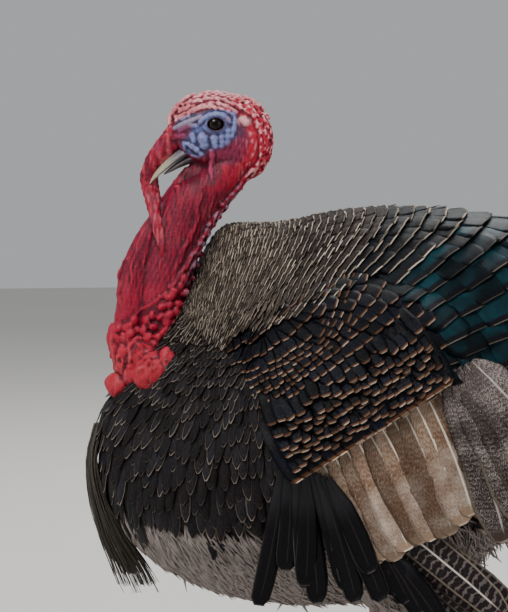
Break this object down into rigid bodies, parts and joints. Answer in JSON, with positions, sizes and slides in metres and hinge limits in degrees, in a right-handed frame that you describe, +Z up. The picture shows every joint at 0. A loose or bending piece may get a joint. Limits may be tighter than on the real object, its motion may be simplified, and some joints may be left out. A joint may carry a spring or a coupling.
{
  "type": "domestic turkey",
  "caption": "Bronze domestic turkey tom standing in a half strut, wattles and snood hanging, life size.",
  "frame": {"origin": "on the floor, under the middle of the bird's length and width", "axes": "+Z up; the bird looks along -X and its left side is -Y"},
  "size_m": [0.8846, 0.3896, 0.6759],
  "materials": {
    "feather_dark": "satin",
    "feather_barred": "satin",
    "skin_red": "satin",
    "skin_blue": "satin",
    "horn": "satin",
    "leg_scale": "satin",
    "eye": "gloss",
    "beard": "satin"
  },
  "bodies": {
    "root": {"torso": "feather_dark", "neck": "skin_red", "head": "skin_blue", "eye_left": "eye", "eye_right": "eye", "beak_upper": "horn", "beak_lower": "horn", "snood": "skin_red", "dewlap": "skin_red", "caruncles_base": "skin_red", "beard": "beard", "wing_left": "feather_barred", "wing_right": "feather_barred", "tail": "feather_barred", "thigh_left": "feather_dark", "thigh_right": "feather_dark", "shank_left": "leg_scale", "shank_right": "leg_scale", "spur_left": "horn", "spur_right": "horn", "foot_left": "leg_scale", "foot_right": "leg_scale", "claw_left_inner": "horn", "claw_left_middle": "horn", "claw_left_outer": "horn", "claw_left_hind": "horn", "claw_right_inner": "horn", "claw_right_middle": "horn", "claw_right_outer": "horn", "claw_right_hind": "horn"}
  },
  "joints": []
}
